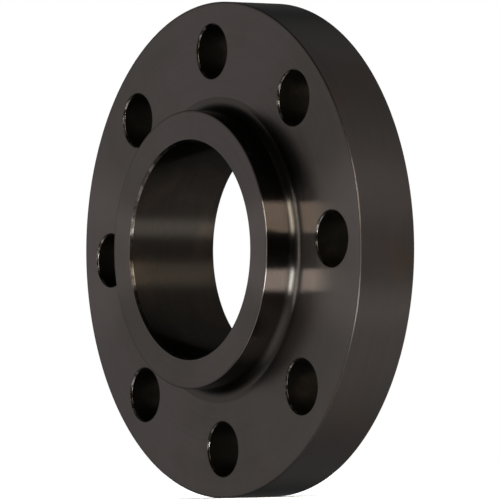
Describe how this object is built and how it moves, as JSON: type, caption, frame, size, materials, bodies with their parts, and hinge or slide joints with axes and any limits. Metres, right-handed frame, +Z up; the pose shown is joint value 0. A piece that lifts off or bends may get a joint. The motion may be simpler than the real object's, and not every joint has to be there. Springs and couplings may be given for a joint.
{
  "type": "slip-on pipe flange",
  "caption": "Round steel slip-on pipe flange: thick drilled disc with a raised gasket face and a short straight hub, bored through for the pipe.",
  "frame": {"origin": "centre of the bore in the plane of the raised gasket face", "axes": "+Y along the bore axis, out of the gasket face, with the hub pointing along -Y; +Z up as the flange stands on edge on a level pipe run; bolt holes on the X and Z centre lines and midway between them"},
  "size_m": [0.2096, 0.0429, 0.2096],
  "materials": {
    "machined_steel": "machined forged carbon steel under a dark semi-gloss rust preventive oil"
  },
  "bodies": {
    "root": {"flange_forging": "machined_steel"}
  },
  "joints": []
}
